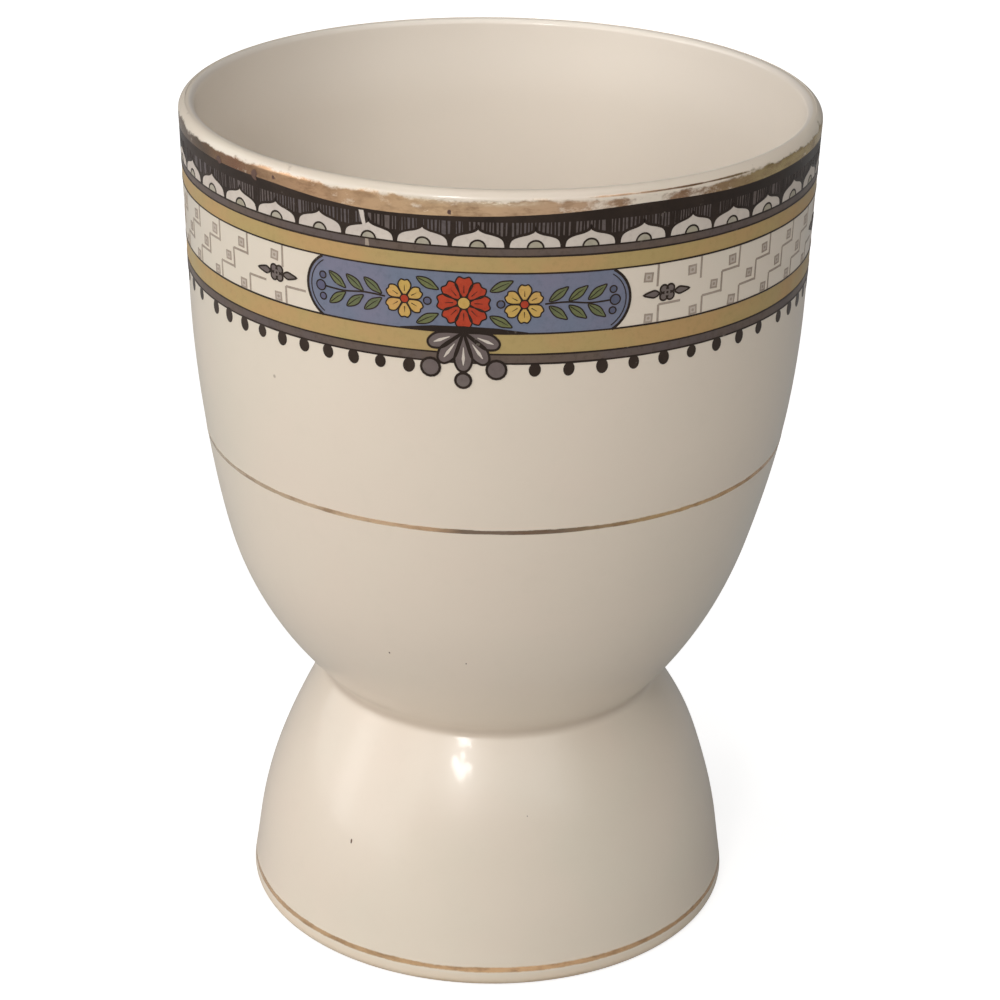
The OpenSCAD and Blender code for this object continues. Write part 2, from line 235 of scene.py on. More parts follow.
def revolved(outline, turns=320, rise=lambda angle, index: 0.0):
    """A body: a section turned round the axis. It starts and ends on the axis, or closes off it.

    rise(angle, index) gives what is added to the height of one point.
    """
    verts, rows = [], []
    for index, (r, z) in enumerate(outline):
        start = len(verts)
        for i in range(turns if r else 1):
            angle = 2 * pi * i / turns
            verts.append(place(angle, r, z + rise(angle, index)))
        rows.append(range(start, len(verts)))
    pairs = list(zip(rows, rows[1:]))
    if outline[0][0]:
        pairs.append((rows[-1], rows[0]))
    faces = []
    for low, high in pairs:
        for i in range(turns):
            j = (i + 1) % turns
            corners = [row[k % len(row)] for row, k in ((low, i), (low, j), (high, j), (high, i))]
            faces.append(tuple(dict.fromkeys(corners)))
    return verts, faces


# Screen colours of the glaze in front light: two that drift, a cloud, grain, specks, and painted shade in
# the waist crease
IVORY = (207, 191, 172)
IVORY_COOL = (201, 188, 169)
IVORY_CLOUD = (209, 189, 171)
IVORY_GRAIN = (199, 184, 165)
IRON = (120, 98, 78)
CREASE_SHADE = (150, 128, 106)
# Glaze inside the cups, whiter partly as thicker glaze and partly as painted light for the inside, and
# painted shade at the inside's left and right sides
INSIDE = (227, 215, 200)
INNER_SIDE_SHADE = (203, 192, 179)
# Thin glaze by the foot's ring, bare clay on it, and glaze under rubbed print
THIN_GLAZE = (205, 176, 142)
CLAY = (186, 158, 124)
UNDER_PRINT = (203, 188, 169)
# Gold where it is smeared, browned by wear, and a painted highlight on it
GOLD_SMEAR = (122, 88, 62)
GOLD_BROWNED = (88, 54, 46)
GOLD_PAINTED_GLINT = (238, 214, 186)


# Shader graphs


def seen(colour):
    """The surface colour that looks like this 0 to 255 screen colour in the light on the front."""
    def linear(value):
        return value / 12.92 if value <= 0.04045 else ((value + 0.055) / 1.055) ** 2.4
    return (*[min(linear(part / 255) / light, 1.0) for part, light in zip(colour, FRONT_LIGHT)], 1.0)


class Nodes:
    """The nodes of a material or world, added by calls that each give the first output."""

    def __init__(self, owner):
        self.owner = owner
        owner.use_nodes = True
        self.tree = owner.node_tree
        self.tree.nodes.clear()

    def add(self, kind, settings=None, **inputs):
        node = self.tree.nodes.new("ShaderNode" + kind)
        for key, value in (settings or {}).items():
            setattr(node, key, value)
        for key, value in inputs.items():
            self.put(node.inputs[key.replace("_", " ")], value)
        return node.outputs[0] if node.outputs else None

    def put(self, socket, value):
        if isinstance(value, bpy.types.NodeSocket):
            self.tree.links.new(value, socket)
        else:
            socket.default_value = value

    def fill(self, result, *values):
        """Sets the first inputs of the node that gave this result."""
        for socket, value in zip(result.node.inputs, values):
            self.put(socket, value)
        return result

    def mix_shaders(self, share, first, second):
        return self.fill(self.add("MixShader"), share, first, second)

    def finish(self, shader, kind="Material"):
        self.add("Output" + kind, Surface=shader)
        return self.owner


class Graph(Nodes):
    """A material, with its nodes for the place on the cup and for arithmetic."""

    def __init__(self, name):
        super().__init__(bpy.data.materials.new(name))
        self.coords = self.add("TexCoord").node.outputs["Object"]
        self.x, self.y, self.z = self.parts(self.coords)
        self.angle = self.maths("ARCTAN2", self.x, self.times(self.y, -1.0))

    def parts(self, vector):
        return self.add("SeparateXYZ", Vector=vector).node.outputs[:]

    def maths(self, operation, *values):
        return self.fill(self.add("Math", {"operation": operation}), *values)

    def times(self, first, second):
        return self.maths("MULTIPLY", first, second)

    def plus(self, first, second):
        return self.maths("ADD", first, second)

    def off_height(self, middle):
        """Distance up or down from this height in millimetres."""
        return self.maths("ABSOLUTE", self.maths("SUBTRACT", self.z, middle * MM))

    def noise(self, scale, detail=3.0, roughness=0.55, stretch=None):
        where = self.add("Mapping", Vector=self.coords, Scale=stretch) if stretch else self.coords
        result = self.add("TexNoise", Vector=where, Scale=scale, Detail=detail, Roughness=roughness)
        return result.node.outputs["Fac"]

    def step(self, value, low, high, start=0.0, end=1.0, kind="SMOOTHSTEP"):
        """Goes from start to end while the value goes from low to high."""
        return self.fill(self.add("MapRange", {"interpolation_type": kind}), value, low, high, start, end)

    def zone(self, rise, fall):
        """One between two angles right of the front, each given as the degrees that it fades over."""
        return self.times(self.step(self.angle, radians(rise[0]), radians(rise[1])),
                          self.step(self.angle, radians(fall[0]), radians(fall[1]), 1.0, 0.0))

    def mix(self, share, first, second):
        return self.add("MixRGB", Fac=share, Color1=first, Color2=second)

    def relief(self, height, depth, **under):
        return self.add("Bump", Height=height, Strength=1.0, Distance=depth, **under)


def spotted(g, scale, size, seed):
    """Share of rare small round specks: cells of this scale of which few have one."""
    cells = g.add("TexVoronoi", {"voronoi_dimensions": "3D"}, Vector=g.coords, Scale=scale).node
    chosen = g.step(g.add("SeparateColor", Color=cells.outputs["Color"]), seed, seed + 0.01)
    near = g.step(cells.outputs["Distance"], size * 0.5, size, 1.0, 0.0)
    return g.times(chosen, near)


def inward(g):
    """Most of one where the surface faces the axis, as it does inside the cups."""
    x, y, _ = g.parts(g.add("NewGeometry").node.outputs["Normal"])
    out = g.plus(g.times(x, g.x), g.times(y, g.y))
    return g.step(out, -4.0 * MM, 0.0, 0.8, 0.0)


def glaze_colour(g):
    """Warm ivory porcelain, with drifting tone and a few iron specks; whiter inside, partly as painted
    light, with painted shade at the inside's left and right sides and in the waist crease.
    """
    drift = g.noise(24.0, 2.0)
    cloud = g.noise(95.0, 2.0, 0.5)
    colour = g.mix(g.step(drift, 0.36, 0.64), seen(IVORY), seen(IVORY_COOL))
    colour = g.mix(g.step(cloud, 0.38, 0.68, 0.0, 0.3), colour, seen(IVORY_CLOUD))
    colour = g.mix(g.step(g.noise(420.0, 3.0, 0.6), 0.5, 0.75, 0.0, 0.16), colour, seen(IVORY_GRAIN))
    colour = g.mix(g.times(spotted(g, 190.0, 0.045, 0.93), 0.55), colour, seen(IRON))
    # Painted shade: the inside glaze darkens towards the cups' left and right sides
    side = g.step(g.maths("ABSOLUTE", g.maths("SINE", g.angle)), 0.3, 1.0)
    colour = g.mix(inward(g), colour, g.mix(side, seen(INSIDE), seen(INNER_SIDE_SHADE)))
    # Painted shade: the glaze darkens in a narrow band at the waist crease
    crease_shade = g.step(g.off_height(FOOT_H + LUTE_T / 2), 0.0, 1.0 * MM, 0.4, 0.0)
    return g.mix(crease_shade, colour, seen(CREASE_SHADE))


def glaze_shader(g, colour):
    """Clear gloss glaze: long soft waves, fine orange peel, and patches dulled by use."""
    waves = g.relief(g.noise(38.0, 1.0), 0.25 * MM)
    peel = g.relief(g.noise(700.0, 1.0), 0.0018 * MM, Normal=waves)
    dull = g.step(g.noise(60.0, 3.0, 0.5), 0.3, 0.75, 0.285, 0.36)
    return g.add("BsdfPrincipled", Base_Color=colour, Roughness=dull, Normal=peel, Coat_Normal=waves,
                 IOR=1.5, Specular_IOR_Level=0.6, Coat_Weight=0.35, Coat_Roughness=0.07)


def porcelain():
    g = Graph("porcelain_glaze")
    return g.finish(glaze_shader(g, glaze_colour(g)))


def foot_porcelain():
    """The foot's glaze, worn to bare tan clay on the ring that it stands on."""
    g = Graph("foot_glaze")
    ragged = g.plus(g.z, g.times(g.noise(300.0, 4.0), 0.9 * MM))
    bare = g.step(ragged, 0.75 * MM, 1.15 * MM, 0.75, 0.0)
    thin = g.step(ragged, 0.9 * MM, 2.4 * MM, 0.4, 0.0)
    colour = g.mix(thin, glaze_colour(g), seen(THIN_GLAZE))
    colour = g.mix(bare, colour, seen(CLAY))
    return g.finish(glaze_shader(g, colour))


def enamel(name, main, second, deep, mottle=0.5, worn=0.0):
    """Printed enamel: two tones that drift, a deeper tone where it pooled, and rubbed pinholes."""
    g = Graph(name)
    drift = g.noise(130.0, 3.0, 0.6)
    grain = g.noise(1500.0, 4.0, 0.7)
    colour = g.mix(g.step(drift, 0.38, 0.66), seen(main), seen(second))
    colour = g.mix(g.step(grain, 0.45, 0.75, 0.0, mottle), colour, seen(deep))
    if worn:
        thin = g.step(g.noise(700.0, 6.0, 0.75), 0.62, 0.72, 0.0, worn)
        colour = g.mix(thin, colour, seen(UNDER_PRINT))
    return g.finish(g.add("BsdfPrincipled", Base_Color=colour, Roughness=g.step(drift, 0.3, 0.7, 0.3, 0.42),
                          Normal=g.relief(grain, 0.006 * MM), Specular_IOR_Level=0.22,
                          Coat_Weight=0.09, Coat_Roughness=0.12))


def gold_metal(g, tones, smear):
    """Thin fired gold, brassy to brown round the cup, as tones of (angle from the front, colour)."""
    run = g.add("ValToRGB", Fac=g.step(g.angle, -pi, pi, kind="LINEAR"))
    stops = run.node.color_ramp.elements
    while len(stops) < len(tones):
        stops.new(0.5)
    for stop, (angle, colour) in zip(stops, tones):
        stop.position = (angle + 180) / 360
        stop.color = seen(colour)
    return g.mix(g.step(smear, 0.42, 0.72, 0.0, 0.6), run, seen(GOLD_SMEAR))


def gold_smear(g):
    """Long faint brush marks round the cup."""
    return g.noise(420.0, 5.0, 0.7, (1.0, 1.0, 2.5))


def rubbed_gold(g, colour, smear, bare):
    """The metal where it is left, and the glaze where it is rubbed through."""
    metal = g.add("BsdfPrincipled", Base_Color=colour, Metallic=0.7,
                  Roughness=g.step(smear, 0.3, 0.7, 0.19, 0.27), Normal=g.relief(smear, 0.015 * MM))
    return g.finish(g.mix_shaders(bare, metal, glaze_shader(g, glaze_colour(g))))


def line_gold(name, tones, wear, middle, half, soft):
    """A brushed line: its gold thins towards both edges, more evenly where it is soft."""
    g = Graph(name)
    smear = gold_smear(g)
    thin = g.step(g.off_height(middle), half * 0.15 * MM, half * 1.1 * MM, 0.0, 0.36)
    patchy = g.step(g.noise(340.0, 6.0, 0.7, (1.0, 1.0, 1.6)), 0.0, 1.0, 0.5 * soft, 1.0 - 0.5 * soft,
                    "LINEAR")
    bare = g.step(g.plus(patchy, thin), 0.66 - wear, 0.84 - wear)
    return rubbed_gold(g, gold_metal(g, tones, smear), smear, bare)


# Angles over which the rim's wear and painted highlight fade in and out, heights between which the painted
# highlight starts, and the height of a line of gold that was left
WORN_ZONE = (12, 19), (38, 50)
GLINT_ZONE = (-17, -10), (2, 9)
GLINT_HEIGHTS = 87.45, 88.0
KEPT_LINE_Z = 88.3


def rim_gold(tones):
    """Gold over the lip: rubbed from the top down, with a painted highlight in front, and badly worn right
    of that.
    """
    g = Graph("rim_gold")
    smear = gold_smear(g)
    worn = g.zone(*WORN_ZONE)
    low = g.step(g.z, (RIM_GOLD_Z + 0.3) * MM, (RIM_GOLD_Z + 0.55) * MM, 1.0, 0.0)
    browned = g.times(g.times(worn, low), 0.8)
    colour = g.mix(browned, gold_metal(g, tones, smear), seen(GOLD_BROWNED))
    # Painted highlight: a pale streak on the upper gold in front
    upper = g.step(g.z, GLINT_HEIGHTS[0] * MM, GLINT_HEIGHTS[1] * MM)
    glint = g.times(g.times(g.zone(*GLINT_ZONE), upper), g.step(smear, 0.36, 0.56, 0.9, 0.25))
    colour = g.mix(glint, colour, seen(GOLD_PAINTED_GLINT))
    rubbed = g.noise(300.0, 5.0, 0.66, (1.0, 1.0, 1.6))
    high = g.step(g.z, 87.75 * MM, 88.62 * MM, 0.0, 0.4)
    patch = g.times(worn, g.step(low, 0.0, 1.0, 0.22, 0.0))
    loss = g.plus(g.plus(rubbed, high), g.plus(patch, g.times(glint, 0.17)))
    line = g.times(worn, g.step(g.off_height(KEPT_LINE_Z), 0.03 * MM, 0.14 * MM, 0.42, 0.0))
    bare = g.step(g.maths("SUBTRACT", loss, line), 0.58, 0.78)
    return rubbed_gold(g, colour, smear, bare)


# Flat print


# Radius at which u is measured, widest slice of a shape, and how far print is sunk into the glaze
PRINT_R = BOWL.line_r(10.0)
CUT = 1.0
SUNK = 0.006


def smooth(points, steps=4, closed=True):
    """Passes a smooth curve through the points."""
    count = len(points)
    found = []
    for i in range(count if closed else count - 1):
        def at(k):
            return Vector(points[k % count] if closed else points[min(max(k, 0), count - 1)])
        a, b, c, d = at(i - 1), at(i), at(i + 1), at(i + 2)
        for s in range(steps):
            t = s / steps
            found.append(0.5 * (2 * b + (c - a) * t + (2 * a - 5 * b + 4 * c - d) * t * t
                                + (3 * b - a - 3 * c + d) * t ** 3))
    if not closed:
        found.append(Vector(points[-1]))
    return found


def moved(points, u, z, turn=0.0, scale=1.0):
    """The points scaled, turned by this many degrees and moved."""
    c, s = cos(radians(turn)), sin(radians(turn))
    return [Vector((u + scale * (x * c - y * s), z + scale * (x * s + y * c))) for x, y in points]


def round_points(r, count=16, start=0.0, end=2 * pi, tall=1.0):
    """Points round a circle, or along part of one."""
    last = count if end - start == 2 * pi else count + 1
    return [Vector((r * cos(start + (end - start) * i / count),
                    r * tall * sin(start + (end - start) * i / count))) for i in range(last)]


def disc(u, z, r, count=16):
    return moved(round_points(r, count), u, z)


class Sheet:
    """Flat shapes, each with its own small height, that wrap together into thin closed solids."""

    def __init__(self):
        self.bm = bmesh.new()
        self.height = self.bm.verts.layers.float.new("height")

    def corner(self, point, height):
        vert = self.bm.verts.new((point[0], point[1], 0.0))
        vert[self.height] = height
        return vert

    def cut(self, faces):
        """Cuts a shape into upright slices narrow enough to follow the wall."""
        verts = dict.fromkeys(v for f in faces for v in f.verts)
        edges = dict.fromkeys(e for f in faces for e in f.edges)
        low, high = min(v.co.x for v in verts), max(v.co.x for v in verts)
        geom = [*verts, *edges, *faces]
        for k in range(ceil(low / CUT + 0.05), floor(high / CUT - 0.05) + 1):
            geom = bmesh.ops.bisect_plane(self.bm, geom=geom, dist=1e-6, plane_co=(k * CUT, 0, 0),
                                          plane_no=(1, 0, 0))["geom"]

    def fill(self, points, height):
        face = self.bm.faces.new([self.corner(p, height) for p in points])
        face.normal_update()
        faces = [face]
        if len(points) > 4:
            faces = bmesh.ops.triangulate(self.bm, faces=[face], ngon_method="EAR_CLIP")["faces"]
        self.cut(faces)

    def edged(self, points, height, dark, width, line_height):
        """A filled shape, and its outline on the dark sheet."""
        self.fill(points, height)
        dark.stroke(points, width, line_height, True)

    def stroke(self, points, width, height, closed=False):
        """A line of this width, or of widths that run along it, with mitred corners."""
        points = [Vector(p) for p in points]
        count = len(points)
        widths = width if isinstance(width, (list, tuple)) else [width] * count
        left, right = [], []
        for i, p in enumerate(points):
            back = points[i - 1] if i or closed else None
            ahead = points[(i + 1) % count] if i < count - 1 or closed else None
            one = (p - back).normalized() if back is not None else None
            two = (ahead - p).normalized() if ahead is not None else None
            one, two = one or two, two or one
            middle = (one + two).normalized() if (one + two).length > 0.2 else one
            side = Vector((-middle.y, middle.x)) * (widths[i] / 2 / max(middle.dot(one), 0.5))
            left.append(self.corner(p + side, height))
            right.append(self.corner(p - side, height))
        self.cut([self.bm.faces.new((left[i], right[i], right[(i + 1) % count], left[(i + 1) % count]))
                  for i in range(count if closed else count - 1)])

    def body(self):
        """Wraps the sheet round the cup as thin closed solids."""
        for face in self.bm.faces:
            face.normal_update()
            if face.normal.z < 0:
                face.normal_flip()
        self.bm.verts.index_update()
        count = len(self.bm.verts)
        tops = [place(v.co.x / PRINT_R, wall_r(v.co.y) + v[self.height], v.co.y) for v in self.bm.verts]
        feet = [place(v.co.x / PRINT_R, wall_r(v.co.y) - SUNK, v.co.y) for v in self.bm.verts]
        faces = []
        for f in self.bm.faces:
            loop = [v.index for v in f.verts]
            faces += [loop, [i + count for i in reversed(loop)]]
            for side in f.loops:
                if len(side.edge.link_faces) == 1:
                    a, b = side.vert.index, side.link_loop_next.vert.index
                    faces.append((a, a + count, b + count, b))
        self.bm.free()
        return tops + feet, faces


def wobble(seed, size):
    """A smooth uneven line round the cup, as a function of the angle."""
    dice = random.Random(seed)
    waves = [(k, dice.uniform(0, 2 * pi), dice.uniform(0.4, 1.0) / k ** 0.4)
             for k in (3, 5, 8, 13, 21, 34, 55)]
    total = sum(size for _, _, size in waves)
    return lambda angle: size * sum(w * sin(k * angle + p) for k, p, w in waves) / total


def band(high, low, height):
    """Section of a film on the wall between two heights."""
    return [(wall_r(high) - SUNK, high), (wall_r(high) + height, high),
            (wall_r(low) + height, low), (wall_r(low) - SUNK, low)]


def ring(high, low, height, wave=0.03, turns=400):
    """A body: a printed ring with slightly uneven edges."""
    seed = round(1000 * high)
    top, bottom = wobble(seed, wave), wobble(seed + 1, wave)
    return revolved(band(high, low, height), turns,
                    lambda angle, index: top(angle) if index < 2 else bottom(angle))


# The two cups and the joint between them


# Fillet of glaze in the waist: its reach up and down, how proud and deep it is, and its steps
FILLET_UP, FILLET_DOWN = 0.8, 0.55
FILLET_PROUD, FILLET_DEEP = 0.004, 1.5
FILLET_STEPS = 16


def build_cups():
    glaze = porcelain()
    new_piece("bowl_glazed", [revolved([(p.x, TOTAL_H - p.y) for p in BOWL.outline()])],
              glaze, "bowl")
    new_piece("foot_glazed", [revolved(FOOT.outline())], foot_porcelain(), "foot_cup")
    high, low = FOOT_H + LUTE_T + FILLET_UP, FOOT_H - FILLET_DOWN
    top, end = (Vector((wall_r(z) + FILLET_PROUD, z)) for z in (high, low))
    up, down = wall_slope(high), wall_slope(low)
    meet = (end.x - top.x + up * high - down * low) / (up - down)
    middle = Vector((top.x + up * (meet - high), meet))
    fillet = [(1 - t) ** 2 * top + 2 * t * (1 - t) * middle + t * t * end
              for t in (i / FILLET_STEPS for i in range(FILLET_STEPS + 1))]
    core_r = WAIST_R - FILLET_DEEP
    new_piece("waist_glaze", [revolved([(core_r, high), *fillet, (core_r, low)])], glaze,
              "slip_lute")


# Gold


# Lower edge of the rim's gold, its thickness, and the angle at which it ends on the lip
RIM_GOLD_Z = 86.62
RIM_GOLD_T = 0.06
RIM_GOLD_END = -72
# Rises and dips of that lower edge: height, middle angle and spread in degrees
RISES = ((0.5, 62, 34), (0.45, -62, 22), (-0.22, -20, 12), (0.1, 8, 12), (0.5, 25, 14), (0.25, -41, 10))
# Thickness of the gold lines, and points round the edges of gold
LINE_GOLD_T = 0.02
GOLD_TURNS = 720
# Tones of the gold: degrees right of the front, and screen colours
RIM_TONES = (
    (-180, (170, 136, 100)), (-90, (140, 112, 84)), (-74, (100, 80, 60)), (-61, (88, 68, 50)),
    (-56, (136, 104, 78)), (-50, (134, 96, 74)), (-44, (162, 128, 98)), (-33, (192, 152, 116)),
    (-12, (208, 172, 132)), (14, (198, 162, 130)), (34, (150, 116, 90)), (52, (172, 150, 106)),
    (75, (182, 156, 102)), (180, (176, 142, 102)))
# The belt's light left and dark front middle are painted reflection, set by angle
BELT_REFLECTED_TONES = (
    (-180, (160, 120, 88)), (-75, (200, 182, 156)), (-52, (204, 180, 152)), (-24, (220, 186, 150)),
    (-11, (216, 178, 140)), (-6, (136, 116, 98)), (12, (130, 110, 92)), (20, (164, 136, 104)),
    (32, (192, 158, 114)), (48, (198, 160, 116)), (180, (160, 120, 88)))
FOOT_TONES = (
    (-180, (190, 156, 118)), (-60, (204, 170, 134)), (-20, (210, 172, 130)), (10, (228, 184, 138)),
    (45, (192, 156, 118)), (180, (190, 156, 118)))


def gold_rise(angle, index):
    """Rise of the gold's lower edge, and of the dark band's top edge under it, at this angle."""
    if index > 1:
        return 0.0
    turn = degrees(angle + pi) % 360 - 180
    return sum(size * bump(turn, middle, spread) for size, middle, spread in RISES)


def rim_section():
    """Gold from its lower edge up the wall and over the outer edge of the lip."""
    top = radians(RIM_GOLD_END)
    outer = arc(BOWL.edge_c, BOWL.edge_r + RIM_GOLD_T, BOWL.lean, top, 10)
    under = arc(BOWL.edge_c, BOWL.edge_r - SUNK, top, BOWL.lean, 10)
    low = TOTAL_H - RIM_GOLD_Z
    wall = [Vector((BOWL.line_r(low) - SUNK, low)), Vector((BOWL.line_r(low) + RIM_GOLD_T, low))]
    return [(p.x, TOTAL_H - p.y) for p in wall + outer + under]


def gold_line(name, node, high, low, wave, tones, wear, half, soft):
    """A line between two heights with wavering edges, covered by gold this far from its middle."""
    metal = line_gold(name, tones, wear, (high + low) / 2, half, soft)
    new_piece(name, [ring(high, low, LINE_GOLD_T, wave, GOLD_TURNS)], metal, node)


def build_gold():
    edge = wobble(5, 0.05)
    rim = revolved(rim_section(), GOLD_TURNS,
                   lambda angle, index: gold_rise(angle, index) + (edge(angle) if index < 2 else 0.0))
    new_piece("rim_gold", [rim], rim_gold(RIM_TONES), "rim_gilding")
    gold_line("belt_gold", "belt_gilding", 54.55, 54.05, 0.05, BELT_REFLECTED_TONES, 0.02, 0.32, 0.4)
    gold_line("foot_gold", "foot_gilding", 2.6, 1.5, 0.04, FOOT_TONES, 0.1, 0.47, 0.6)


# Border: heights of its bands above the table, from the top down


BAND_TOP = 86.3
DARK_EDGE = (BAND_TOP + 0.5, BAND_TOP - 0.22)
SCALLOP_BASE = 83.6
GREY_HIGH = (83.56, 82.78)
YELLOW_HIGH = (82.74, 81.16)
PANEL = (81.1, 75.2)
YELLOW_LOW = (75.16, 73.16)
GREY_LOW = (73.1, 72.22)
BEAD_Z = 71.6
PANEL_MID = (PANEL[0] + PANEL[1]) / 2
DARK_LINES = (GREY_HIGH[0] + 0.05, GREY_HIGH[1] + 0.02, YELLOW_HIGH[1], PANEL[1] + 0.04, YELLOW_LOW[1],
              GREY_LOW[1] + 0.02)
LINE_HALF = 0.08

# Repeats of the border, in degrees right of the front
SCALLOPS = 39
SCALLOP_START = 1.4
PANELS = 3
PANEL_TURN = -5.5
PANEL_HALF = radians(22) * PRINT_R
PANEL_END_R = 3.4
SECTOR = 2 * pi * PRINT_R / PANELS

# The fret: first column, pitch, count, width of lines, heights of the steps, their treads, and how
# far above each step a square stands
FRET_START = 27.7
FRET_PITCH = 8.87
FRET_COLUMNS = 8
FRET_W = 0.23
FRET_LEVELS = (PANEL[0], 79.0, 77.05, PANEL[1])
FRET_TREADS = (2.3, 2.42)
SQUARE_UP = (0.9, 0.9, 0.62)

# Motifs at the ends of the fret: angles from a panel's middle, half width and clear height
MOTIF_TURNS = (35.1, -35.1)
MOTIF_HALF = 2.6
MOTIF_TALL = 1.05

# Small heights of the layers of print, and of one petal over the last
LOW_INK, MID_INK, TOP_INK = 0.018, 0.032, 0.046
HAIR = 0.0006


def at_angle(turn):
    return radians(turn) * PRINT_R


# Right half of a scallop, and the dark valley between two
SCALLOP_HALF = smooth([(0.0, 1.98), (0.2, 1.7), (0.7, 1.47), (1.35, 1.31), (1.95, 1.1), (2.32, 0.8),
                       (2.48, 0.38), (2.5, 0.0)], closed=False)
VALLEY = [(-0.6, 1.1), (-0.28, 0.82), (-0.13, 0.38), (-0.1, 0.0), (0.1, 0.0), (0.13, 0.38), (0.28, 0.82),
          (0.6, 1.1), (0.0, 1.22)]
# Hatching behind the scallops: gaps between its lines, share of lines left out, and widths
HATCH_GAP = (0.27, 0.42)
HATCH_SKIP = 0.06
HATCH_WIDTHS = (0.15, 0.17, 0.2, 0.24, 0.32)


def scallop_top(x):
    """Height of the scallop's edge this far from its middle."""
    for a, b in zip(SCALLOP_HALF, SCALLOP_HALF[1:]):
        if a.x <= abs(x) <= b.x:
            return a.y + (b.y - a.y) * (abs(x) - a.x) / max(b.x - a.x, 1e-6)
    return 0.9


def draw_scallops(dark, pale, eyes):
    pitch = 2 * pi * PRINT_R / SCALLOPS
    for k in range(SCALLOPS):
        middle = at_angle(SCALLOP_START) + (k + 0.5) * pitch + chance.uniform(-0.07, 0.07)
        wide = chance.uniform(0.96, 1.02)
        tall = chance.uniform(0.93, 1.06)
        right = [Vector((p.x * wide, p.y * tall)) for p in SCALLOP_HALF]
        edge = [Vector((-p.x, p.y)) for p in right[:0:-1]] + right
        edge = moved(edge, middle, SCALLOP_BASE)
        pale.fill(edge, MID_INK)
        dark.stroke(edge, chance.uniform(0.2, 0.27), TOP_INK)
        eye_r = chance.uniform(0.7, 0.78)
        off = chance.uniform(-0.12, 0.12)
        lid = moved(round_points(eye_r, 10, 0.0, pi), middle + off, SCALLOP_BASE)
        eyes.fill(lid, MID_INK + 0.006)
        dark.stroke(lid, 0.18, TOP_INK + 0.004)
        dark.fill(moved(VALLEY, middle - pitch / 2, SCALLOP_BASE), MID_INK + 0.004)
        x = -pitch / 2
        while x < pitch / 2:
            x += chance.uniform(*HATCH_GAP)
            if chance.random() < HATCH_SKIP:
                continue
            low = SCALLOP_BASE + scallop_top(x) * tall + chance.uniform(-0.05, 0.12)
            lean = chance.uniform(-0.05, 0.05)
            width = chance.choice(HATCH_WIDTHS)
            dark.stroke([(middle + x, low), (middle + x + lean, BAND_TOP + 0.05)], width,
                        MID_INK + chance.uniform(0.0, 0.01))


def fret_limit(z):
    """How far right of a panel's middle its round end reaches at this height."""
    return PANEL_HALF + sqrt(max(PANEL_END_R ** 2 - (z - PANEL_MID) ** 2, 0.0)) + 0.3


def in_field(u, z, room=0.0):
    """Whether this place is clear of the panels and of the motifs."""
    if not fret_limit(z) + room < u < SECTOR - fret_limit(z) - room:
        return False
    return all(abs(u - at_angle(turn) % SECTOR) > MOTIF_HALF + room or abs(z - PANEL_MID) > MOTIF_TALL
               for turn in MOTIF_TURNS)


def draw_fret(fret, squares):
    """Stepped lines that go down to the left, with small dotted squares."""
    for panel in range(PANELS):
        zero = at_angle(PANEL_TURN) + panel * SECTOR
        for k in range(FRET_COLUMNS):
            u = at_angle(FRET_START - PANEL_TURN + k * FRET_PITCH) + chance.uniform(-0.08, 0.08)
            for i, (high, low) in enumerate(zip(FRET_LEVELS, FRET_LEVELS[1:])):
                if in_field(u, (high + low) / 2, 0.35):
                    lean = chance.uniform(-0.04, 0.04)
                    fret.stroke([(zero + u + lean, high), (zero + u, low - FRET_W / 2)], FRET_W,
                                LOW_INK + 0.001 * i)
                su, sz = u - 1.0 + chance.uniform(-0.06, 0.06), low + SQUARE_UP[i]
                if in_field(su, sz, 0.5):
                    draw_square(fret, squares, zero + su, sz)
                if i < len(FRET_TREADS):
                    tread = FRET_TREADS[i]
                    if in_field(u - tread / 2, low, tread / 2 - 0.3):
                        fret.stroke([(zero + u - tread, low), (zero + u, low + 0.03)], FRET_W,
                                    LOW_INK + 0.002)
                    u -= tread


def draw_square(fret, squares, u, z):
    half = chance.uniform(0.36, 0.42)
    box = [(-half, -half), (half, -half), (half, half), (-half, half)]
    box = moved(box, u, z, chance.uniform(-6, 6))
    squares.edged(box, LOW_INK, fret, 0.18, LOW_INK + 0.004)
    fret.fill(disc(u, z, 0.16, 8), LOW_INK + 0.005)


def mirrored(half):
    """A closed shape from its right half, whose ends are on its axis."""
    return half + [(-x, z) for x, z in half[-2:0:-1]]


PETAL = mirrored([(0.0, 0.5), (0.5, 1.15), (0.8, 1.85), (0.5, 2.48), (0.0, 2.36)])
SMALL_PETAL = mirrored([(0.0, 0.3), (0.46, 0.85), (0.62, 1.4), (0.34, 1.86), (0.0, 1.8)])
LOBE = mirrored([(0.0, 0.2), (0.42, 1.15), (0.66, 2.15), (0.4, 2.9), (0.0, 3.1)])
LEAF = [(-1.12, 0.0), (-0.5, 0.36), (0.15, 0.44), (0.7, 0.26), (1.18, 0.0), (0.7, -0.26), (0.15, -0.44),
        (-0.5, -0.36)]
BLADE = [(0.85, 0.0), (1.3, 0.33), (1.8, 0.27), (2.5, 0.0), (1.8, -0.27), (1.3, -0.33)]


